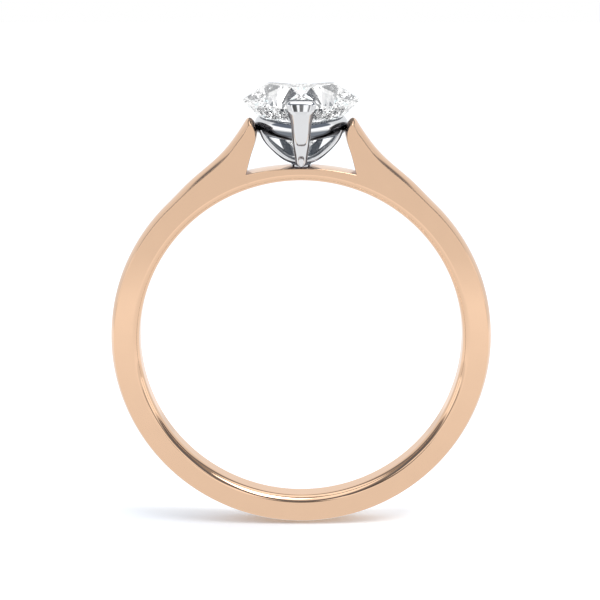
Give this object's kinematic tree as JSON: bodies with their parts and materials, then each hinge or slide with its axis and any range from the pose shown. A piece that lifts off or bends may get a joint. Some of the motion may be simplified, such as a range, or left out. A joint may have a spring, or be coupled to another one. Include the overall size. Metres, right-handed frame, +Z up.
{
  "type": "engagement ring",
  "caption": "Finger ring with a narrow rose-gold band whose raised shoulders rise beside a white-metal claw basket holding a faceted heart-shaped stone.",
  "frame": {"origin": "centre of the finger hole, midway between the band's two flat side faces", "axes": "+Z up from the hole's centre through the stone's table, Y along the finger hole with the heart's point toward -Y, +X across the band to the right as seen from the heart's point"},
  "size_m": [0.0194, 0.0066, 0.0227],
  "materials": {
    "rose_gold": "polished rose gold",
    "white_metal": "polished white gold or platinum",
    "diamond": "faceted and polished, clear"
  },
  "bodies": {
    "root": {"shank": "rose_gold", "bridge": "rose_gold", "head_base_peg": "white_metal", "cradle": "white_metal", "gallery_rail": "white_metal", "v_claw": "white_metal", "lobe_claw_left": "white_metal", "lobe_claw_right": "white_metal", "heart_diamond": "diamond"}
  },
  "joints": []
}
